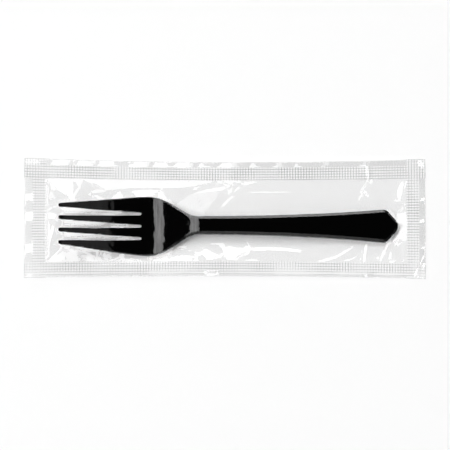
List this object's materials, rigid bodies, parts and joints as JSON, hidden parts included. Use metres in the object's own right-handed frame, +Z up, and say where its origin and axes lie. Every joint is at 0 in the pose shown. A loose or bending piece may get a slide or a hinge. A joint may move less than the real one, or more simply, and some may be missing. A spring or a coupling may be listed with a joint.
{
  "type": "wrapped plastic fork",
  "caption": "Black moulded plastic table fork sealed in a flat pouch of clear film with a waffle-pressed heat seal along every edge.",
  "frame": {"origin": "middle of the pouch in plan, at the height of the table it lies on", "axes": "+X along the fork towards the end of its handle, +Z up out of the fork's top face, +Y towards the back edge of the pouch"},
  "size_m": [0.1894, 0.0574, 0.0129],
  "materials": {
    "black_plastic": "moulded gloss",
    "clear_film": "clear gloss"
  },
  "bodies": {
    "root": {"fork": "black_plastic", "upper_film": "clear_film", "lower_film": "clear_film"}
  },
  "joints": []
}
